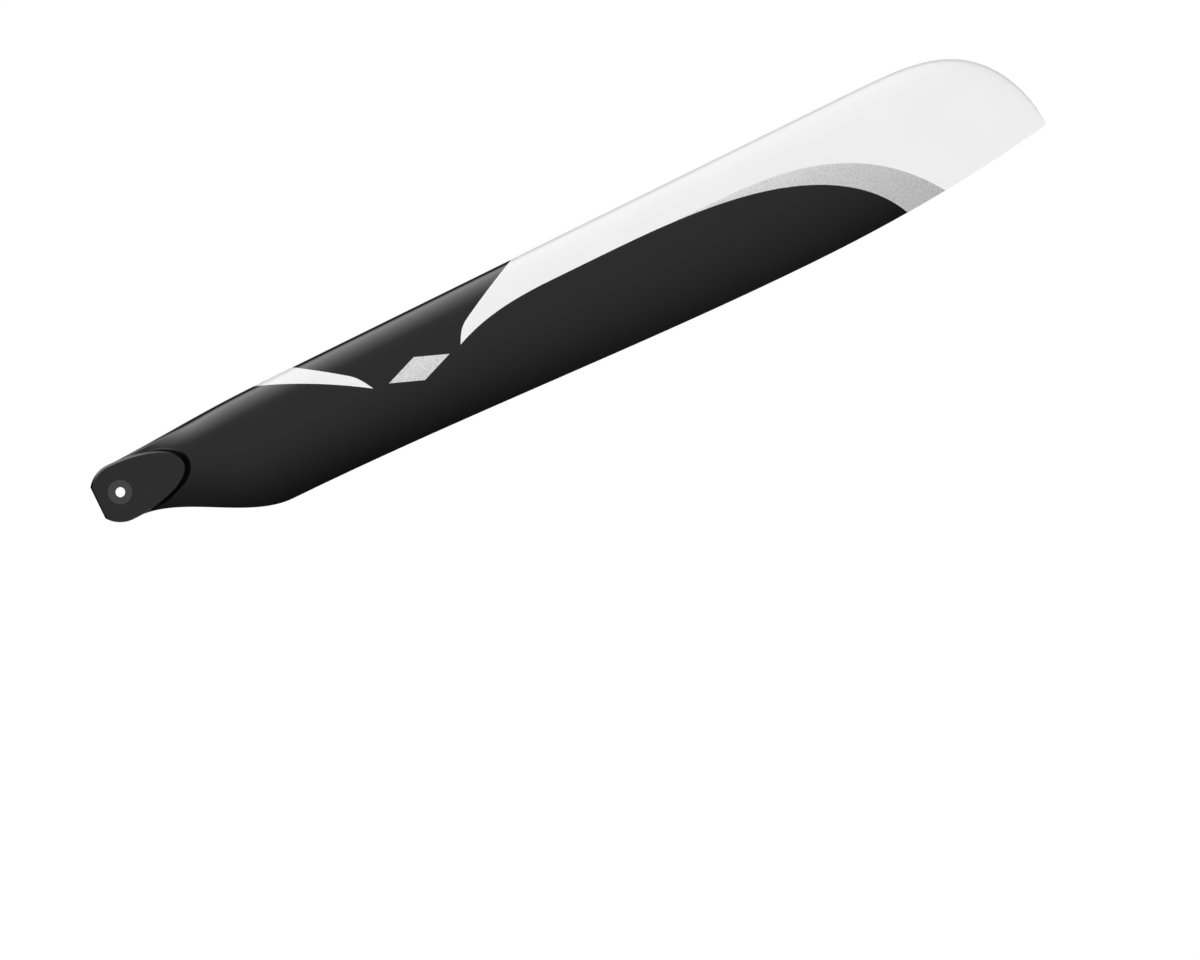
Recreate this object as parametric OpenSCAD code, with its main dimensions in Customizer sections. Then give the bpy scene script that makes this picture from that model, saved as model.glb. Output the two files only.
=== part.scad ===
// Main rotor blade of a model helicopter.
// The origin is the centre of the bolt hole at mid thickness. +X runs to the tip,
// +Y to the leading edge, and +Z is the bolt's axis. All sizes are in millimetres.

/* [Planform] */
// Distance from the bolt hole to the tip
blade_radius = 195; // [170:1:240]
// Leading edge ahead of the bolt hole, at the outboard end of the neck
le_inboard = 7.2; // [6.2:0.1:9]
// Leading edge ahead of the bolt hole, where the tip's curve starts
le_outboard = 7.5; // [6.2:0.1:9]
// Trailing edge behind the bolt hole, at the outboard end of the neck
te_inboard = 16; // [12:0.1:19]
// Trailing edge behind the bolt hole, at the widest station
te_widest = 19.2; // [16:0.1:23]
// Trailing edge behind the bolt hole, at the tip's corner
te_tip = 15; // [10:0.1:19]
// Distance from the bolt hole to the widest station
widest_station = 141.5; // [100:0.5:160]
// How sharply the trailing edge turns in towards the tip, where 2 is a parabola
te_sweep = 2.1; // [1.5:0.1:3]

/* [Neck] */
// Distance from the bolt hole to the start of the neck's curve, along the leading edge
neck_le_start = -5; // [-8:0.5:0]
// Distance from the bolt hole to the end of the neck, along the leading edge
neck_le_len = 32.5; // [24:0.5:45]
// Distance from the bolt hole to the start of the neck's curve, along the trailing edge
neck_te_start = 1; // [0:0.5:3]
// Distance from the bolt hole to the end of the neck, along the trailing edge
neck_te_len = 30; // [22:0.5:45]
// Thickness of the aerofoil where the neck meets the root block
neck_t = 3.6; // [3:0.1:3.9]
// Thickness of the trailing edge where the neck meets the root block
neck_te_t = 1.8; // [0.4:0.1:2.4]
// Distance from the bolt hole to where the neck's blunt nose has turned into the aerofoil's
neck_blunt_len = 19; // [12:0.5:24]
// How blunt the neck's nose is beside the tongue, where 2 is an ellipse
neck_nose_power = 20; // [3:1:30]
// How full the neck's tail is beside the tongue, where 1 is a straight wedge
neck_tail_power = 1.15; // [1:0.05:2]

/* [Tip] */
// Length of the rounded tip, along the span
tip_run = 33.5; // [15:0.5:45]
// Fullness of the tip along the span, where 2 is an ellipse
tip_span_power = 3.75; // [2:0.05:5]
// Fullness of the tip along the chord, where 2 is an ellipse
tip_chord_power = 1.9; // [1.5:0.05:3]

/* [Aerofoil] */
// Greatest thickness of the symmetrical aerofoil
blade_t = 3; // [2:0.1:3.4]
// Thickness of the trailing edge along the working span
te_t = 0.4; // [0.2:0.05:0.8]

/* [Root] */
// Thickness of the root block, which the grip clamps
root_t = 4; // [3.6:0.1:6]
// Width of the root block, across the bolt hole
root_w = 11.8; // [10:0.1:13]
// Distance from the bolt hole to the flat root end
root_end = 4.85; // [3.5:0.05:5.5]
// Distance from the bolt hole to the outboard end of the tongue's flat face
tongue_len = 13.85; // [10:0.05:18]
// Slope of the shoulder round the tongue's outboard end, in degrees
shoulder_slope = 26; // [20:1:45]
// Width of the bevel along the leading-edge side of the root block, on both faces
root_bevel = 0.45; // [0.2:0.05:0.6]
// Width of that bevel along the trailing-edge side
root_bevel_te = 0.1; // [0.05:0.05:0.2]
// Height of that bevel
root_bevel_h = 0.15; // [0.1:0.05:0.4]

/* [Bolt bush] */
// Diameter of the bolt hole
bolt_d = 2; // [1.5:0.1:2.5]
// Diameter of the bush's flange
flange_d = 4.9; // [4:0.1:6]
// Thickness of the bush's flange
flange_t = 0.6; // [0.3:0.05:1]
// Diameter of the bush's barrel
barrel_d = 3.2; // [2.9:0.1:3.6]
// Blade material left under the barrel, at the face without the flange
barrel_floor = 0.8; // [0.5:0.05:1.5]
// Bond line between the bush and its seat
bond_gap = 0.02; // [0.01:0.01:0.05]

/* [Hidden] */

root_r = root_w / 2;
// The neck's edges leave the root block from just inside its outline
neck_inset = 0.1;
neck_r = root_r - neck_inset;
tip_start = blade_radius - tip_run;
neck_end = max(neck_le_len, neck_te_len);
// Last step of the tip's sweep, in degrees, just short of a chord of nothing
tip_last_angle = 87.5;
// The shoulder starts inside the skin, where the root block is this thick
shoulder_foot_t = blade_t * 2 / 3;
shoulder_run = (root_t - shoulder_foot_t) / 2 / tan(shoulder_slope);
// Angles round the tongue where the shoulder starts and where it is full, on each side of its end
shoulder_te = [-85, -30];
shoulder_le = [65, 0];
// Cuts run this far past the faces that they open
over_cut = 1;

// Sections along the neck, the working span and the tip, and points along one face of a section
neck_steps = 16;
span_steps = 22;
tip_steps = 18;
chord_steps = 24;
round_steps = 64;

carbon_black = [0.13, 0.13, 0.13];
bush_grey = [0.28, 0.28, 0.29];

// A step from 0 to 1 that starts and ends level, between two values that may run down as well as up
function smooth(value, from, to) =
    let (u = max(0, min(1, (value - from) / (to - from)))) u * u * (3 - 2 * u);

// How far the leading edge lies ahead of the bolt hole at a station
function leading_edge(x) =
    x < neck_le_len ? neck_r + (le_inboard - neck_r) * smooth(x, neck_le_start, neck_le_len)
    : x < tip_start
        ? le_inboard + (le_outboard - le_inboard) * (x - neck_le_len) / (tip_start - neck_le_len)
        : let (u = (x - tip_start) / tip_run)
          (le_outboard + te_tip) * pow(1 - pow(u, tip_span_power), 1 / tip_chord_power) - te_tip;

// How far the trailing edge lies behind the bolt hole at a station
function trailing_edge(x) =
    x < neck_te_len ? neck_r + (te_inboard - neck_r) * smooth(x, neck_te_start, neck_te_len)
    : x < widest_station
        ? te_inboard + (te_widest - te_inboard) * smooth(x, neck_te_len, widest_station)
        : let (u = (x - widest_station) / (blade_radius - widest_station))
          te_widest - (te_widest - te_tip) * pow(u, te_sweep);

function chord(x) = leading_edge(x) + trailing_edge(x);

// Both thicknesses fall with the chord over the tip, and grow along the neck towards the root block
function tip_share(x) = x < tip_start ? 1 : chord(x) / chord(tip_start);
function along_neck(x, root, end) = mixed(root, end, smooth(x, 0, neck_te_len));
function section_t(x) = along_neck(x, neck_t, blade_t) * tip_share(x);
function edge_t(x) = along_neck(x, neck_te_t, te_t) * tip_share(x);

// Half thickness of a symmetrical four-digit aerofoil of unit thickness, at a share of the chord
function aerofoil(s) =
    5 * (0.2969 * sqrt(s) - 0.126 * s - 0.3516 * s * s + 0.2843 * pow(s, 3) - 0.1036 * pow(s, 4));
thickest_share = 0.3;

// Half thickness of the neck's blunt front and of its wedge-shaped tail, also of unit thickness
function blunt_front(s) = sqrt(1 - pow(1 - s / thickest_share, neck_nose_power)) / 2;
function wedge_tail(s) = (1 - pow((s - thickest_share) / (1 - thickest_share), neck_tail_power)) / 2;

// The neck's own section beside the tongue, which turns into the aerofoil along the neck
function profile(x, s) = s < thickest_share
    ? mixed(aerofoil(s), blunt_front(s), smooth(x, neck_blunt_len, tongue_len / 2))
    : mixed(aerofoil(s), wedge_tail(s), smooth(x, neck_te_len, tongue_len / 2));
function mixed(from, to, share) = from + (to - from) * share;

// Half thickness of the blade at a station and a share of its chord, on a wedge as thick as the edge
function half_t(x, s) =
    (section_t(x) - edge_t(x) * thickest_share) * profile(x, s) + edge_t(x) / 2 * s;

// Shares of the chord, close together round the nose
shares = [for (i = [0 : chord_steps]) 1 - cos(90 * i / chord_steps)];

// One section: the upper face from tail to nose, then the lower face back to the tail
function section(x) = concat(
    [for (i = [chord_steps : -1 : 0]) section_point(x, shares[i], 1)],
    [for (i = [1 : chord_steps]) section_point(x, shares[i], -1)]);
function section_point(x, s, side) = [x, leading_edge(x) - chord(x) * s, side * half_t(x, s)];

// Stations: even along the neck and the working span, and closing up towards the tip
stations = concat(
    [for (i = [0 : neck_steps - 1]) neck_end * i / neck_steps],
    [for (i = [0 : span_steps - 1]) neck_end + (tip_start - neck_end) * i / span_steps],
    [for (i = [0 : tip_steps])
        tip_start + tip_run * pow(sin(tip_last_angle * i / tip_steps), 2 / tip_span_power)]);

// Skin between one ring of points and the next, and a flat end made of rungs from face to face
function skin(rings, n) = [for (k = [0 : rings - 2], i = [0 : n - 1])
    let (a = k * n + i, b = k * n + (i + 1) % n)
    each [[a, b, b + n], [a, b + n, a + n]]];
function end_cap(first, n, turned) = [for (i = [0 : floor(n / 2) - 1])
    let (a = first + i, b = first + i + 1, c = first + n - 2 - i, d = first + n - 1 - i)
    each (b == c ? [turn([a, b, d], turned)] : [turn([a, b, d], turned), turn([b, c, d], turned)])];
function turn(face, turned) = turned ? [face[2], face[1], face[0]] : face;

// The moulded aerofoil, lofted through its sections from the bolt hole to the tip
module aerofoil_loft() {
    n = 2 * chord_steps + 1;
    rings = len(stations);
    polyhedron(
        points = [for (x = stations) each section(x)],
        faces = concat(
            skin(rings, n),
            end_cap(0, n, true),
            end_cap((rings - 1) * n, n, false)));
}

// Plan of the root block: a round end with a flat, and a half ellipse for the tongue
module root_plan(inset) {
    r = root_r - inset;
    intersection() {
        circle(r = r, $fn = round_steps);
        translate([inset - root_end, -r]) square([root_end - inset, 2 * r]);
    }
    intersection() {
        scale([tongue_len / r, 1]) circle(r = r, $fn = round_steps);
        translate([0, -r]) square([tongue_len, 2 * r]);
    }
}

// Plan of the shoulder's foot: the tongue's ellipse, pushed out round its outboard end
function shoulder_share(angle) =
    smooth(angle, shoulder_te[0], shoulder_te[1]) * smooth(angle, shoulder_le[0], shoulder_le[1]);
function shoulder_point(angle) =
    let (outward = [cos(angle) / tongue_len, sin(angle) / neck_r])
    [tongue_len * cos(angle), neck_r * sin(angle)]
        + shoulder_run * shoulder_share(angle) * outward / norm(outward);
module shoulder_plan() {
    polygon([for (i = [0 : round_steps / 2]) shoulder_point(360 * i / round_steps - 90)]);
}

// The block that the grip clamps, with its raised tongue on both faces
module root_block() {
    hull() {
        linear_extrude(root_t, center = true)
            translate([0, (root_bevel_te - root_bevel) / 2]) root_plan((root_bevel + root_bevel_te) / 2);
        linear_extrude(root_t - 2 * root_bevel_h, center = true) root_plan(0);
        linear_extrude(shoulder_foot_t, center = true) shoulder_plan();
    }
}

// Seat for the bush, open at the upper face and floored at the lower one
module bush_seat() {
    depth = root_t - barrel_floor;
    translate([0, 0, root_t / 2 - flange_t])
        cylinder(d = flange_d + 2 * bond_gap, h = flange_t + over_cut, $fn = round_steps);
    translate([0, 0, root_t / 2 - depth])
        cylinder(d = barrel_d + 2 * bond_gap, h = depth, $fn = round_steps);
}

module blade() {
    color(carbon_black) difference() {
        union() {
            aerofoil_loft();
            root_block();
        }
        bush_seat();
        cylinder(d = bolt_d, h = root_t + 2 * over_cut, center = true, $fn = round_steps);
    }
}

// Flanged bush that lines the bolt hole, flush with the upper face
module bolt_bush() {
    top = root_t / 2;
    color(bush_grey) rotate_extrude($fn = round_steps)
        polygon([
            [bolt_d / 2, barrel_floor - top],
            [barrel_d / 2, barrel_floor - top],
            [barrel_d / 2, top - flange_t],
            [flange_d / 2, top - flange_t],
            [flange_d / 2, top],
            [bolt_d / 2, top]]);
}

blade();
bolt_bush();
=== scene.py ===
# %% [markdown]
# # The main rotor blade of a model helicopter
#
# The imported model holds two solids: the moulded blade and the bush that lines its bolt
# hole. They are right in size, and their faces are flat facets. This lesson dresses them.
# The blade's skin is worked out again on a fine grid from the formulas that shaped the
# solid, and it gets a lacquer whose colour fields are drawn by shader maths. A soft studio
# and a camera looking straight down follow at the end.

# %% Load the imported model
import math

import bpy
import numpy as np
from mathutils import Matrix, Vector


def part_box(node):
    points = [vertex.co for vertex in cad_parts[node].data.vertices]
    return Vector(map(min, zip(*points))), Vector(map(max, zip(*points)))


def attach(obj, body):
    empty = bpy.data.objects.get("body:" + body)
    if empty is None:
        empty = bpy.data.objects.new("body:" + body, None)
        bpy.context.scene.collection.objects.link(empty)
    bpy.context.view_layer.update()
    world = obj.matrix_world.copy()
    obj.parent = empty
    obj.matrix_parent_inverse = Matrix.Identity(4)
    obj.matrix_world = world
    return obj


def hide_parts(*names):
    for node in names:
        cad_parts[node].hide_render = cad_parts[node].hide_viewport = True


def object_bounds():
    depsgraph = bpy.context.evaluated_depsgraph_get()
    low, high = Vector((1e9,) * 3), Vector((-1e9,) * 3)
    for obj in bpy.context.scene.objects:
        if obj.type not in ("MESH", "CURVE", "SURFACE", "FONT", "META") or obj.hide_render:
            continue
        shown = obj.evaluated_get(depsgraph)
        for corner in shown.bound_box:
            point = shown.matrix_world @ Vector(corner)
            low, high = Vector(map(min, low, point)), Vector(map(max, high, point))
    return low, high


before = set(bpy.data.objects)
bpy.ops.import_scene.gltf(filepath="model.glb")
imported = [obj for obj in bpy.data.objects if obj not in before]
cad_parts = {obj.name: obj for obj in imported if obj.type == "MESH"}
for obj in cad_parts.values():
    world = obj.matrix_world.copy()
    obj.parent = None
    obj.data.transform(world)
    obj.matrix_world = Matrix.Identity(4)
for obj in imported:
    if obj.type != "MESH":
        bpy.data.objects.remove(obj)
cad_low, cad_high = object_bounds()
MM = 0.001
blade_low, blade_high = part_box("blade")
bush_low, bush_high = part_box("bolt_bush")
print("CAD nodes:", len(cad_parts))
print("CAD box in mm:", [round(v / MM, 2) for v in (*cad_low, *cad_high)])

# %% [markdown]
# ## The plan of the blade
#
# Seen from above, a rotor blade is two edges: the leading edge, almost straight, and the
# trailing edge, which swells to the widest station and turns in towards the tip. One could
# draw each as a spline through points. Formulas are better here, because a grid can then
# ask for an edge at any station. Each edge leaves the root block through a neck that is an
# S-shaped step, and the tip closes as a quarter of a superellipse.

# %% The two edges, in millimetres from the bolt hole
blade_radius = 195.0
le_inboard, le_outboard = 7.2, 7.5
te_inboard, te_widest, te_tip = 16.0, 19.2, 15.0
widest_station, te_sweep = 141.5, 2.1
root_r, neck_inset = 5.9, 0.1
neck_le_start, neck_le_len = -5.0, 32.5
neck_te_start, neck_te_len = 1.0, 30.0
tip_run, tip_span_power, tip_chord_power = 33.5, 3.75, 1.9
plan_samples = 400

neck_r = root_r - neck_inset
tip_start = blade_radius - tip_run


def ease(value, low, high):
    """The S-shaped step u squared times (3 - 2u), where u runs from 0 at low to 1 at high."""
    u = np.clip((value - low) / (high - low), 0, 1)
    return u * u * (3 - 2 * u)


def leading_edge(x):
    """Neck step, then a straight line, then a quarter superellipse down to the tip's corner."""
    neck = neck_r + (le_inboard - neck_r) * ease(x, neck_le_start, neck_le_len)
    straight = le_inboard + (le_outboard - le_inboard) * (x - neck_le_len) / (tip_start - neck_le_len)
    u = np.clip((x - tip_start) / tip_run, 0, 1)
    tip = (le_outboard + te_tip) * (1 - u ** tip_span_power) ** (1 / tip_chord_power) - te_tip
    return np.where(x < neck_le_len, neck, np.where(x < tip_start, straight, tip))


def trailing_edge(x):
    """Distance behind the hole: neck step, a second step to the widest station, then a power curve."""
    neck = neck_r + (te_inboard - neck_r) * ease(x, neck_te_start, neck_te_len)
    swell = te_inboard + (te_widest - te_inboard) * ease(x, neck_te_len, widest_station)
    u = np.clip((x - widest_station) / (blade_radius - widest_station), 0, 1)
    turn_in = te_widest - (te_widest - te_tip) * u ** te_sweep
    return np.where(x < neck_te_len, neck, np.where(x < widest_station, swell, turn_in))


span = np.linspace(0, blade_radius, plan_samples)
print("widest chord in mm:", round(float((leading_edge(span) + trailing_edge(span)).max()), 2))

# %% [markdown]
# ## The section
#
# A main rotor blade of this kind is symmetrical above and below its chord line. The
# four-digit aerofoil formula gives the half thickness along the chord. A thin wedge is
# added, so that the trailing edge ends in a narrow flat and can be moulded. Over the tip
# both thicknesses fall with the chord. They grow along the neck towards the root block, and
# beside the tongue the front grows blunt and the tail turns into a plain wedge. A fine grid
# can hold a slightly squarer front than the solid's facets do.

# %% Half thickness at a station and a share of the chord
blade_t, te_t = 3.0, 0.4
neck_t, neck_te_t = 3.6, 1.8
neck_blunt_len, neck_nose_power, neck_tail_power = 19.0, 40.0, 1.15
tongue_len = 13.85
thickest_share = 0.3
sample_station, section_samples = 100.0, 200


def aerofoil(s):
    """The four-digit half thickness of a section of unit thickness, at a share s of the chord."""
    return 5 * (0.2969 * np.sqrt(s) - 0.126 * s - 0.3516 * s**2 + 0.2843 * s**3 - 0.1036 * s**4)


def blunt_front(s):
    """Half thickness of a blunt front of unit thickness, level from the thickest share on."""
    ahead = np.clip(1 - s / thickest_share, 0, 1)
    return np.sqrt(1 - ahead**neck_nose_power) / 2


def wedge_tail(s):
    """Half thickness of a tail of unit thickness that falls, almost straight, from the thickest share."""
    behind = np.clip((s - thickest_share) / (1 - thickest_share), 0, 1)
    return (1 - behind**neck_tail_power) / 2


def half_thickness(x, s):
    """The aerofoil, or beside the tongue the neck's own section, on a wedge as thick as the edge."""
    chord = leading_edge(x) + trailing_edge(x)
    full = leading_edge(tip_start) + trailing_edge(tip_start)
    tip_share = np.where(x < tip_start, 1, chord / full)
    along = ease(x, 0, neck_te_len)
    section_t = (neck_t + (blade_t - neck_t) * along) * tip_share
    edge_t = (neck_te_t + (te_t - neck_te_t) * along) * tip_share
    in_front = s < thickest_share
    neck = np.where(in_front, blunt_front(s), wedge_tail(s))
    neck_share = ease(x, np.where(in_front, neck_blunt_len, neck_te_len), tongue_len / 2)
    profile = aerofoil(s) + (neck - aerofoil(s)) * neck_share
    return (section_t - edge_t * thickest_share) * profile + edge_t / 2 * s


thick = 2 * half_thickness(np.array(sample_station), np.linspace(0, 1, section_samples))
print("greatest thickness at mid span in mm:", round(float(thick.max()), 2))

# %% [markdown]
# ## The moulded skin
#
# The grid runs along the span and round the section: up the upper face from tail to nose
# and back along the lower face. Points crowd at the nose, where the skin curves most. The
# root end lies inside the root block, where nothing shows, and its rings bend round the
# bush so that the bolt hole stays clear.

# %% Rings of the skin
neck_rings, span_rings, tip_rings, face_points = 48, 90, 72, 60
tip_last_angle = math.radians(89)
bush_clearance, join_station = 0.3, 9.0
flange_r = bush_high.x / MM


def skin_stations():
    """Even steps along neck and span, then steps that close up towards the tip as a sine does."""
    neck_end = max(neck_le_len, neck_te_len)
    neck = np.linspace(0, neck_end, neck_rings, endpoint=False)
    working = np.linspace(neck_end, tip_start, span_rings, endpoint=False)
    closing = np.sin(np.linspace(0, tip_last_angle, tip_rings))
    return np.concatenate([neck, working, tip_start + tip_run * closing ** (2 / tip_span_power)])


def skin_rings():
    """Rings of points: y falls from the leading edge by a share of the chord, z is plus or minus
    the half thickness, and near the hole x starts on a circle that clears the bush."""
    face = 1 - np.cos(np.linspace(0, math.pi / 2, face_points + 1))
    share = np.concatenate([face[::-1], face[1:]])[None, :]
    side = np.concatenate([np.ones(face_points + 1), -np.ones(face_points)])[None, :]
    station = skin_stations()[:, None]
    across = neck_r * (1 - 2 * share)
    start = np.sqrt(np.clip((flange_r + bush_clearance) ** 2 - across**2, 0, None))
    x = station + start * np.clip(1 - station / join_station, 0, 1)
    y = leading_edge(x) - (leading_edge(x) + trailing_edge(x)) * share
    return np.stack([x, y, side * half_thickness(x, share)], axis=-1)


skin = skin_rings()
ring_count, ring_points = skin.shape[:2]
print("skin:", ring_count, "rings of", ring_points, "points")

# %% [markdown]
# ## Faces between the rings
#
# Rings become a surface when each is joined to the next by quads. The two ends of the skin
# are closed with rungs, like a ladder's, from the upper face to the lower one. At the nose the
# two faces share one point, so the last rung there is a triangle.

# %% Faces of the skin


def ring_quads(rings, points):
    """Quads between each ring and the next, with the last point of a ring joined to its first."""
    ring, point = np.meshgrid(np.arange(rings - 1), np.arange(points), indexing="ij")
    here, beside = ring * points + point, ring * points + (point + 1) % points
    return np.stack([here, beside, beside + points, here + points], axis=-1).reshape(-1, 4)


def rung_quads(first, points):
    """Rungs across the ring that starts at a given point, from upper to lower, short of the nose."""
    i = np.arange(points // 2 - 1)
    return first + np.stack([i, points - 1 - i, points - 2 - i, i + 1], axis=-1)


last_ring = (ring_count - 1) * ring_points
nose = ring_points // 2
skin_faces = [
    *ring_quads(ring_count, ring_points).tolist(),
    *rung_quads(0, ring_points).tolist(),
    *rung_quads(last_ring, ring_points)[:, ::-1].tolist(),
    [nose - 1, nose + 1, nose],
    [last_ring + nose, last_ring + nose + 1, last_ring + nose - 1],
]
print("skin:", len(skin_faces), "faces")

# %% [markdown]
# ## The root block
#
# The grip clamps a block that is thicker than the blade, with a tongue that lies on each
# face. In plan it is a round end cut by a flat, and half an ellipse for the tongue. A cut-out
# solid would meet the skin in a hard line. Here the block is a profile carried round its
# plan, so that its edge can melt into the skin.

# %% Plan of the root
root_t = (blade_high.z - blade_low.z) / MM
root_end = -blade_low.x / MM
plan_steps = 360

corner = math.acos(-root_end / root_r)
even_angles = np.linspace(-math.pi, math.pi, plan_steps, endpoint=False)
plan_angle = np.unique(np.concatenate([even_angles, [corner, -corner]]))


def root_plan(inset_le, inset_te):
    """Plan points: a half ellipse outboard, a circle cut by the flat inboard, inset on each side."""
    inset = (inset_le + inset_te) / 2
    r, c = root_r - inset, np.cos(plan_angle)
    x = np.where(c > 0, (tongue_len - inset_te) * c, np.maximum(r * c, inset - root_end))
    return np.stack([x, r * np.sin(plan_angle) + (inset_te - inset_le) / 2], axis=-1)


def lathe_plan(radius):
    """Plan points of a circle: the radius times the cosine and the sine of the angle."""
    return radius * np.stack([np.cos(plan_angle), np.sin(plan_angle)], axis=-1)


print("root plan:", len(plan_angle), "points, block", round(root_t, 2), "mm thick")

# %% [markdown]
# ## The tongue's edge and shoulder
#
# The tongue's rim has a shallow bevel, widest along the leading edge, where it catches the
# light. Below it a hollow shoulder runs out into the skin. It is wide round the tongue's end
# and along the trailing-edge side, and mirrors a dim part of the sky as a dark crescent. Its
# slope is limited, because a steeper one would mirror the white floor as a bright patch.

# %% Edge and shoulder of the tongue
bevel_le, bevel_te, bevel_h, shoulder_edge = 0.45, 0.1, 0.15, 0.05
# Shares of the bevel's width and height, from the flat face out to the wall
bevel_profile = [(1.15, 0.0), (1.05, 0.0), (0.94, 0.06), (0.05, 0.95), (0.0, 1.0)]
shoulder_w, shoulder_steepest, shoulder_least, wall_least = 1.2, 0.8, 0.2, 0.02
wall_foot, skin_sink, foot_blend = 1.0, 0.006, 0.15
shoulder_steps = 14
# Angles round the tongue where the shoulder starts and where it is full, on each side of its end
shoulder_te, shoulder_le = np.radians([-84, -55]), np.radians([75, 0])
# The shoulder's curve is almost straight round the end and more hollow along the trailing-edge side
end_power, side_power, side_angles = 1.3, 2.3, np.radians([-10, -50])

shoulder = ease(plan_angle, *shoulder_te) * ease(plan_angle, *shoulder_le)
shoulder_power = end_power + (side_power - end_power) * ease(plan_angle, *side_angles)


def skin_height(place):
    """Half thickness of the blade under plan points, from their share of the chord."""
    x, y = np.clip(place[:, 0], 0, None), place[:, 1]
    share = (leading_edge(x) - y) / (leading_edge(x) + trailing_edge(x))
    return half_thickness(x, np.clip(share, 0, 1))


def edge_rings():
    """The upper face's outer half, from flat to foot, as plan points and heights: shares of the bevel's
    width and height out to the wall, then a wall, and a power curve that eases into the skin."""
    top = root_t / 2
    wall = root_plan(0, 0)
    drop = bevel_h + (shoulder_edge - bevel_h) * shoulder
    for inset, sunk in bevel_profile:
        yield root_plan(bevel_le * inset, bevel_te * inset), top - drop * sunk
    outward = np.stack([np.cos(plan_angle) / tongue_len, np.sin(plan_angle) / root_r], axis=-1)
    reach = shoulder_w * shoulder
    outward *= (reach / np.hypot(*outward.T))[:, None]
    on_skin = skin_height(wall + outward) - skin_sink
    foot = wall_foot + (on_skin - wall_foot) * ease(shoulder, 0, foot_blend)
    rise = np.maximum(reach * shoulder_steepest / shoulder_power, shoulder_least)
    rise = np.minimum(rise, top - drop - foot - wall_least)
    for u in np.linspace(0, 1, shoulder_steps + 1):
        yield wall + outward * u, foot + rise * (1 - u) ** shoulder_power


upper_edge = list(edge_rings())
print("tongue's edge:", len(upper_edge), "rings")

# %% [markdown]
# ## The closed block
#
# The whole profile starts in the bush's seat, crosses the upper face and runs down its edge.
# It goes on with the same edge on the lower face, in reverse, and comes back up the bolt hole.
# Its last ring is joined to its first, which closes the block.

# %% Rings of the root block
bolt_r, barrel_r, flange_t = 1.0, 1.6, 0.6
barrel_floor, bond_gap = 0.8, 0.02


def root_rings():
    """Seat rings, the upper edge, the lower edge in reverse, and the bolt hole."""
    top = root_t / 2
    seat = [(barrel_r + bond_gap, barrel_floor - top), (barrel_r + bond_gap, top - flange_t),
            (flange_r + bond_gap, top - flange_t), (flange_r + bond_gap, top)]
    bore = [(bolt_r, -top), (bolt_r, barrel_floor - top)]
    lower_edge = [(plan, -height) for plan, height in reversed(upper_edge)]
    turned = [[(lathe_plan(r), np.full_like(plan_angle, z)) for r, z in part] for part in (seat, bore)]
    rings = turned[0] + upper_edge + lower_edge + turned[1]
    return np.stack([np.column_stack([plan, height]) for plan, height in rings])


def closed_quads(rings):
    """Quads between rings, with the last ring joined to the first."""
    count, points = rings.shape[:2]
    return ring_quads(count + 1, points) % (count * points)


block = root_rings()
print("root block:", block.shape[0], "rings of", block.shape[1], "points")

# %% [markdown]
# ## From arrays to a piece
#
# Blender takes the points in metres. Faces that meet at less than a set angle are shaded
# smooth, and sharper edges stay crisp. The signed volume tells whether the faces point
# outwards: a closed mesh that is inside out has a volume below zero.

# %% Make the blade's piece
crisp_angle = math.radians(28)


def make_piece(name, points, faces):
    """A mesh object at the origin from points in millimetres, with its edges crisp by angle. Its
    volume is a sixth of the sum, over all triangles, of a corner's dot product with the cross
    product of the other two."""
    mesh = bpy.data.meshes.new(name)
    mesh.from_pydata((points * MM).tolist(), [], faces)
    mesh.update()
    mesh.shade_smooth()
    mesh.set_sharp_from_angle(angle=crisp_angle)
    piece = bpy.data.objects.new(name, mesh)
    bpy.context.scene.collection.objects.link(piece)
    mesh.calc_loop_triangles()
    corners = np.empty((len(mesh.loop_triangles), 3), dtype=np.int32)
    mesh.loop_triangles.foreach_get("vertices", corners.ravel())
    a, b, c = points[corners[:, 0]], points[corners[:, 1]], points[corners[:, 2]]
    volume = np.einsum("ij,ij->i", a, np.cross(b, c)).sum() / 6
    print(name, len(corners), "triangles,", round(float(volume), 1), "cubic mm")
    return piece


skin_points, block_points = skin.reshape(-1, 3), block.reshape(-1, 3)
block_faces = closed_quads(block) + len(skin_points)
blade = make_piece(
    "lacquered_blade",
    np.concatenate([skin_points, block_points]),
    skin_faces + block_faces.tolist())
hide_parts("blade")
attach(blade, "root")

# %% [markdown]
# ## The bush
#
# A turned bush keeps the bolt from wearing the moulding. Its flange lies flush in the upper
# face and shows as a grey ring. It is a plain lathe profile whose edges are broken by the
# turner, and the mouth of the hole is countersunk a little, which reads as a fine dark rim.

# %% Turn the bush
edge_break, mouth_break = 0.05, 0.12
bush_steps = 128


def turned_rings(profile, steps):
    """Each profile point, a radius and a height, carried round the bolt's axis."""
    angle = np.linspace(0, 2 * math.pi, steps, endpoint=False)[None, :]
    radius, height = np.array(profile).T[:, :, None]
    return np.stack(np.broadcast_arrays(radius * np.cos(angle), radius * np.sin(angle), height), axis=-1)


foot, under, top = bush_low.z / MM, root_t / 2 - flange_t, bush_high.z / MM
bush_profile = [
    (bolt_r, foot), (barrel_r, foot), (barrel_r, under), (flange_r, under),
    (flange_r, top - edge_break), (flange_r - edge_break, top), (bolt_r + mouth_break, top),
    (bolt_r, top - mouth_break)]
bush_rings = turned_rings(bush_profile, bush_steps)
bush = make_piece("turned_bush", bush_rings.reshape(-1, 3), closed_quads(bush_rings).tolist())
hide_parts("bolt_bush")
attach(bush, "root")

# %% [markdown]
# ## Shader maths as Python
#
# Node trees are hard to read as lists of links. A small class wraps one socket, and Python's
# operators on it add Math nodes, so that a formula in the script looks like a formula. One
# method adds any other node.

# %% A socket that takes part in sums


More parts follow.
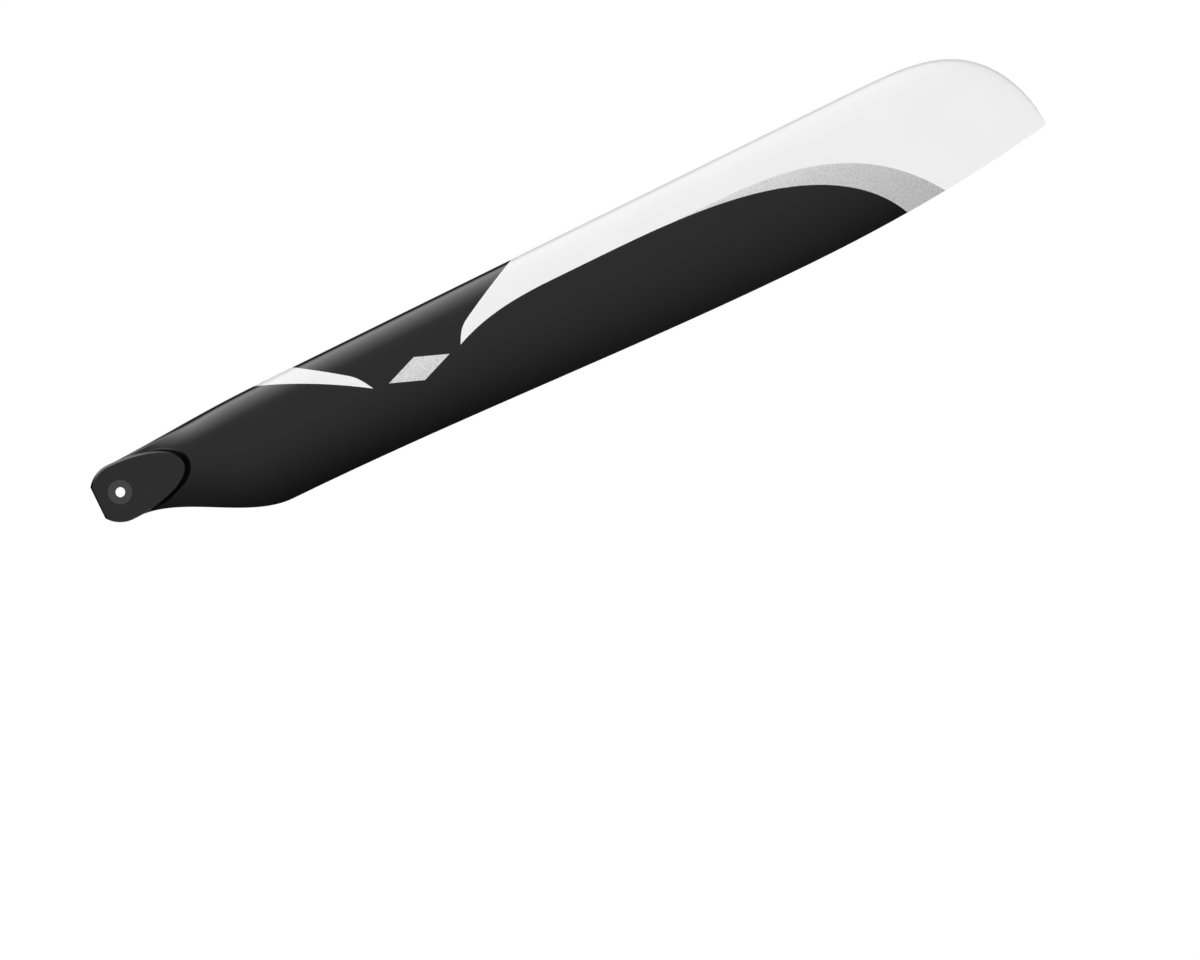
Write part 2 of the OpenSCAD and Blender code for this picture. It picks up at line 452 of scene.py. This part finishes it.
class Field:
    """A value that varies over a surface: one output socket of a node tree."""

    def __init__(self, tree, socket=None):
        self.tree = tree
        self.socket = socket

    def node(self, kind, settings=None, sockets=None, out=0):
        """Adds a node, sets its settings, then gives its sockets values or links."""
        made = self.tree.nodes.new(kind)
        for name, value in (settings or {}).items():
            setattr(made, name, value)
        for key, value in (sockets or {}).items():
            if isinstance(value, Field):
                self.tree.links.new(value.socket, made.inputs[key])
            else:
                made.inputs[key].default_value = value
        return Field(self.tree, made.outputs[out] if made.outputs else None)

    def math(self, operation, *terms, clamp=False):
        """A Math node on the given terms."""
        settings = {"operation": operation, "use_clamp": clamp}
        return self.node("ShaderNodeMath", settings, dict(enumerate(terms)))

    def __add__(self, other):
        return self.math("ADD", self, other)

    def __sub__(self, other):
        return self.math("SUBTRACT", self, other)

    def __mul__(self, other):
        return self.math("MULTIPLY", self, other)

    def __truediv__(self, other):
        return self.math("DIVIDE", self, other)

    def __pow__(self, other):
        return self.math("POWER", self, other)

    def __radd__(self, other):
        return self.math("ADD", other, self)

    def __rsub__(self, other):
        return self.math("SUBTRACT", other, self)

    def __rmul__(self, other):
        return self.math("MULTIPLY", other, self)

    def __abs__(self):
        return self.math("ABSOLUTE", self)

    def lesser(self, other, blend=0.0):
        """The lesser of two values, with the corner where they meet rounded over the blend."""
        return self.math("SMOOTH_MIN", self, other, blend)

    def clamped(self):
        """The value, kept between 0 and 1."""
        return self.math("ADD", self, 0.0, clamp=True)

    def mixed(self, low, high):
        """A colour between low and high, by this value."""
        return self.node("ShaderNodeMix", {"data_type": "RGBA"}, {0: self, 6: low, 7: high}, out=2)


# %% [markdown]
# ## Helpers for finishes
#
# Every finish here is a grey, so a shade is one number. A step between two places, and noise
# whose blobs have a real size, come up in several finishes and in the sky.

# %% Trees, greys, steps and noise


def new_finish(name):
    """An empty material and the start of its tree."""
    finish = bpy.data.materials.new(name)
    finish.use_nodes = True
    finish.node_tree.nodes.clear()
    return finish, Field(finish.node_tree)


def grey(level):
    """A colour whose red, green and blue are one level."""
    return (level, level, level, 1.0)


def between(value, shades):
    """A grey between two shades, by a value from 0 to 1."""
    return value.mixed(grey(shades[0]), grey(shades[1]))


def ramp(value, low, high):
    """0 below low, 1 above high and an S-shaped step between; low may be the greater of the two."""
    u = ((value - low) / (high - low)).clamped()
    return u * u * (3 - 2 * u)


def noise(start, place, size_mm):
    """Noise from 0 to 1 whose blobs are about the given size: its scale is one over the size."""
    return start.node("ShaderNodeTexNoise", {}, {"Vector": place, "Scale": 1 / (size_mm * MM)})


print("middle grey:", grey(0.5))

# %% [markdown]
# ## The colour fields
#
# The blade is sprayed black, with a white tip and leading edge, and a silver band between
# them that tapers to nothing. Two white darts run in from the leading edge, with a silver
# lozenge between their points. The fields could be an image, but an image blurs up close.
# Here each edge is a formula in the plan's two coordinates, and a field is what lies between
# two edges. The same formulas serve both faces.

# %% Kinds of edges
edge_soft = 0.05


def covers(distance):
    """1 where the distance past an edge is above zero, with a soft step as wide as sprayed edges are."""
    return (distance / edge_soft + 0.5).clamped()


def slight_curve(x, through, slope, bend):
    """A sloping line through a point, plus a bend times the square of the distance from it."""
    along = x - through[0]
    return through[1] + slope * along + bend * along * along


def dart_edge(x, corner, slope, bend, far_slope, blend):
    """A slight curve and a steeper line through the same corner, which the blend rounds."""
    steep = corner[1] + far_slope * (x - corner[0])
    return slight_curve(x, corner, slope, bend).lesser(steep, blend)


def sweep(x, top, start, run, drop, span_power, chord_power):
    """A level line that turns down as a quarter of a superellipse."""
    share = ((x - start) / run).clamped()
    return top - drop * (1 - (1 - share**span_power) ** (1 / chord_power))


print("painted edges are", edge_soft, "mm soft")

# %% [markdown]
# ## Where the fields lie
#
# The white's lower edge rises from the tip's dart, runs level and sweeps down to the trailing
# edge. The silver band lies between that edge and a second sweep. Each dart is cut by a steep
# edge on its inner side, and the one near the root has a foot of its own.

# %% Masks of the fields, in millimetres
rise_from, rise_slope, rise_level, rise_blend = (70.07, -2.0), 0.879, 0.255, 21.8
band_start = 110
lozenge_x, lozenge_y, lozenge_half_x, lozenge_half_y = 63.4, -4.0, 6.6, 2.5


def colour_fields(plan):
    """Masks of the white and the silver fields, from the plan's x and y."""
    x, y = plan
    rise = (rise_from[1] + rise_slope * (x - rise_from[0])).lesser(rise_level, rise_blend)
    black_edge = rise.lesser(sweep(
        x, top=0.24, start=101.2, run=63.3, drop=26, span_power=3.18, chord_power=2.03))
    silver_edge = sweep(
        x, top=-0.03, start=123.2, run=51.8, drop=26, span_power=3.31, chord_power=1.36)
    tip_dart = dart_edge(
        x, corner=(74.0, -0.45), slope=0.5685, bend=-0.0035, far_slope=2.213, blend=4.2)
    root_dart = dart_edge(
        x, corner=(51.86, -0.4), slope=-0.764, bend=-0.0054, far_slope=-1.835, blend=2.13)
    root_dart_foot = slight_curve(x, through=(44, 2.14), slope=-0.5256, bend=-0.0072)

    band = covers(y - black_edge)
    silver_band = band * covers(silver_edge - y) * covers(x - band_start)
    white = band * covers(tip_dart - y) + covers(y - root_dart_foot) * covers(root_dart - y)
    narrowing = abs(x - lozenge_x) * (lozenge_half_y / lozenge_half_x)
    lozenge = covers(lozenge_half_y - narrowing - abs(y - lozenge_y))
    return white, silver_band + lozenge


print("lozenge in mm:", 2 * lozenge_half_x, "by", 2 * lozenge_half_y)

# %% [markdown]
# ## The lacquer
#
# Satin lacquer over a smooth moulding has almost no texture, but it is never flat: the spray
# leaves a faint orange peel, the sheen varies a little, and the silver holds metal flakes
# that sparkle as fine grain. Noise in Object coordinates gives all three at their real size.
# On steep edges the white is mixed towards a grey. This is a painted shade that draws a darker line along
# the leading edge and round the tip. The surface's own normal tells how steep it is.

# %% Lacquer the blade
flake_size, cloud_size, peel_size = 0.4, 9.0, 1.6
flake_contrast, flake_middle = 2.8, 0.7
black_shades, white_shades, silver_shades = (0.0008, 0.0016), (0.83, 0.86), (0.77, 1.0)
# The grey of the painted shade on the white's steep edges, and the steepness over which that shade comes
# in
edge_shade_grey, edge_shade_steepness = 0.765, (0.94, 0.83)
sheen, sheen_cloud, white_matt, silver_matt = 0.13, 0.04, 0.21, 0.04
silver_metal = 0.75
peel_strength, peel_depth = 0.25, 0.004


def lacquer():
    """Black, then white and silver by their masks, with flakes, clouds and orange peel."""
    finish, start = new_finish("satin_lacquer")
    place = start.node("ShaderNodeTexCoord", out="Object")
    axes = [start.node("ShaderNodeSeparateXYZ", {}, {0: place}, out=i) for i in range(2)]
    white, silver = colour_fields([axis / MM for axis in axes])

    cloud = noise(start, place, cloud_size)
    normal = start.node("ShaderNodeTexCoord", out="Normal")
    upright = abs(start.node("ShaderNodeSeparateXYZ", {}, {0: normal}, out=2))
    # Painted shade: where the normal leans far from upright, the white turns towards a grey
    white_with_edge_shade = ramp(upright, *edge_shade_steepness).mixed(between(cloud, white_shades), grey(edge_shade_grey))
    flakes = ((noise(start, place, flake_size) - 0.5) * flake_contrast + flake_middle).clamped()
    painted = white.mixed(between(cloud, black_shades), white_with_edge_shade)
    colour = silver.mixed(painted, between(flakes, silver_shades))

    peel = noise(start, place, peel_size)
    relief = start.node(
        "ShaderNodeBump", {}, {"Strength": peel_strength, "Distance": peel_depth * MM, "Height": peel})
    sockets = {
        "Base Color": colour,
        "Roughness": sheen + cloud * sheen_cloud + white * white_matt + silver * silver_matt,
        "Metallic": silver * silver_metal,
        "Normal": relief,
    }
    surface = start.node("ShaderNodeBsdfPrincipled", {}, sockets)
    start.node("ShaderNodeOutputMaterial", {}, {0: surface})
    return finish


blade.data.materials.append(lacquer())
print("lacquer nodes:", len(blade.data.materials[0].node_tree.nodes))

# %% [markdown]
# ## The bush's metal
#
# Dark anodised aluminium keeps the fine rings that the lathe tool leaves. Rings are a sine of
# the distance from the bolt's axis, and they change only the relief. A soft cloud varies the
# dye and the sheen.

# %% Anodise the bush
ring_pitch, ring_strength, ring_depth = 0.09, 0.2, 0.003
dye_size, dye_shades, dye_metal = 0.8, (0.038, 0.06), 0.3
bush_sheen, bush_sheen_cloud = 0.42, 0.1


def anodised_metal():
    """A dark grey by a cloud of dye, with relief from a sine of the radius over the rings' pitch."""
    finish, start = new_finish("dark_anodised_aluminium")
    place = start.node("ShaderNodeTexCoord", out="Object")
    flat = start.node("ShaderNodeVectorMath", {"operation": "MULTIPLY"}, {0: place, 1: (1, 1, 0)})
    radius = start.node("ShaderNodeVectorMath", {"operation": "LENGTH"}, {0: flat}, out="Value")
    rings = start.math("SINE", radius * (2 * math.pi / (ring_pitch * MM)))
    cloud = noise(start, place, dye_size)
    relief = start.node(
        "ShaderNodeBump", {}, {"Strength": ring_strength, "Distance": ring_depth * MM, "Height": rings})
    sockets = {
        "Base Color": between(cloud, dye_shades),
        "Roughness": bush_sheen + cloud * bush_sheen_cloud,
        "Metallic": dye_metal,
        "Normal": relief,
    }
    surface = start.node("ShaderNodeBsdfPrincipled", {}, sockets)
    start.node("ShaderNodeOutputMaterial", {}, {0: surface})
    return finish


bush.data.materials.append(anodised_metal())
print("metal nodes:", len(bush.data.materials[0].node_tree.nodes))

# %% [markdown]
# ## The floor
#
# The blade lies on a white floor that runs past every edge of the picture. Lit white alone
# would fall short of pure white. So the rays that show the floor, straight to the camera or
# in a reflection, see mostly plain emission. The rest is lit, and keeps the blade's shadow.

# %% Lay the floor
floor_half, floor_gap = 4.0, 0.02
floor_grey, glow_strength, glow_share = 0.7, 1.04, 0.93


def make_floor():
    """A square just below the part, whose finish mixes lit grey and emission by the kind of ray."""
    corners = np.array([[-1, -1], [1, -1], [1, 1], [-1, 1]]) * floor_half
    mesh = bpy.data.meshes.new("floor")
    level = cad_low.z - floor_gap * MM
    mesh.from_pydata([(x, y, level) for x, y in corners], [], [(0, 1, 2, 3)])
    floor = bpy.data.objects.new("floor", mesh)
    bpy.context.scene.collection.objects.link(floor)
    finish, start = new_finish("white_floor")
    rays = [start.node("ShaderNodeLightPath", out=f"Is {kind} Ray")
            for kind in ("Camera", "Glossy", "Transmission")]
    seen = (rays[0] + rays[1] + rays[2]).clamped()
    lit = start.node("ShaderNodeBsdfDiffuse", {}, {"Color": grey(floor_grey)})
    glow = start.node("ShaderNodeEmission", {}, {"Color": grey(1.0), "Strength": glow_strength})
    surface = start.node("ShaderNodeMixShader", {}, {0: seen * glow_share, 1: lit, 2: glow})
    start.node("ShaderNodeOutputMaterial", {}, {0: surface})
    mesh.materials.append(finish)
    print("floor", 2 * floor_half, "m wide, at", round(level / MM, 2), "mm")


make_floor()

# %% [markdown]
# ## The sky
#
# Gloss needs something to mirror. The sky is dim, apart from one soft strip that crosses the
# zenith and runs down ahead of the leading edge. Overhead it is grey, which gives the black
# its sheen. It grows brighter with the direction's y, which draws the light band along the
# leading edge. Each border of the strip is an S-shaped step along one axis of the direction.

# %% Paint the sky
sky_dim, strip_grey = 0.012, 0.67
strip_gain, gain_start = 11.3, 0.19
tip_border, root_border = (0.4, -0.05), (-0.42, -0.25)
back_border, front_border, low_border = (-0.29, -0.11), (0.95, 0.66), (0.0, 0.2)


def make_sky():
    """Dim, plus inside the strip a grey and a gain times the direction's y past the gain's start."""
    world = bpy.data.worlds.new("studio")
    world.use_nodes = True
    world.node_tree.nodes.clear()
    bpy.context.scene.world = world
    start = Field(world.node_tree)
    direction = start.node("ShaderNodeTexCoord", out="Generated")
    x, y, z = (start.node("ShaderNodeSeparateXYZ", {}, {0: direction}, out=i) for i in range(3))
    along = ramp(x, *tip_border) * ramp(x, *root_border)
    across = ramp(y, *back_border) * ramp(y, *front_border) * ramp(z, *low_border)
    brightness = strip_grey + strip_gain * start.math("MAXIMUM", y - gain_start, 0.0)
    level = sky_dim + along * across * brightness
    sky = start.node("ShaderNodeBackground", {}, {"Color": grey(1.0), "Strength": level})
    start.node("ShaderNodeOutputWorld", {}, {0: sky})
    print("sky nodes:", len(world.node_tree.nodes))


make_sky()

# %% [markdown]
# ## The lamp
#
# A wide lamp, high on the trailing-edge side, fills the colours evenly. It stays out of
# reflections, so that the black keeps its depth. The Standard view shows each colour about as
# it is written.

# %% Hang the lamp


def make_fill(aside, height, side, radiance):
    """A square area lamp that faces the blade; its power is its radiance times pi times its area."""
    lamp = bpy.data.lights.new("fill", "AREA")
    lamp.size = side
    lamp.energy = radiance * math.pi * side * side
    fill = bpy.data.objects.new("fill", lamp)
    fill.location = ((cad_low.x + cad_high.x) / 2, aside, height)
    fill.rotation_euler = (math.atan2(-aside, height), 0, 0)
    fill.visible_camera = False
    fill.visible_glossy = False
    bpy.context.scene.collection.objects.link(fill)
    print("lamp power in watts:", round(lamp.energy, 1))


make_fill(aside=-1.2, height=2.0, side=2.0, radiance=3.42)
bpy.context.scene.view_settings.view_transform = "Standard"

# %% [markdown]
# ## The camera
#
# The photograph looks straight down on the blade, with the span turned up to the right. A
# long lens far away keeps the bolt hole round. The scale, the turn and the pixel of the bolt
# hole fix the camera: the centre of the picture is a step away from the hole, turned back
# into the blade's axes.

# %% Camera over the blade
picture = np.array([1200, 960])
pixels_per_mm = 5.0924
span_turn = math.radians(26.06)
hole_pixel = np.array([120.42, 492.18])
lens_mm, sensor_mm, clip_end = 400, 36, 20

step = (picture / 2 - hole_pixel) / pixels_per_mm * [1, -1]
c, s = math.cos(span_turn), math.sin(span_turn)
centre = np.array([c * step[0] + s * step[1], -s * step[0] + c * step[1]]) * MM
distance = picture[0] / pixels_per_mm * MM * lens_mm / sensor_mm

lens = bpy.data.cameras.new("camera")
lens.lens, lens.sensor_width = lens_mm, sensor_mm
lens.clip_end = clip_end
camera = bpy.data.objects.new("camera", lens)
camera.location = (*centre, distance)
camera.rotation_euler = (0, 0, -span_turn)
bpy.context.scene.collection.objects.link(camera)
bpy.context.scene.camera = camera
print("camera at", [round(v, 3) for v in camera.location])
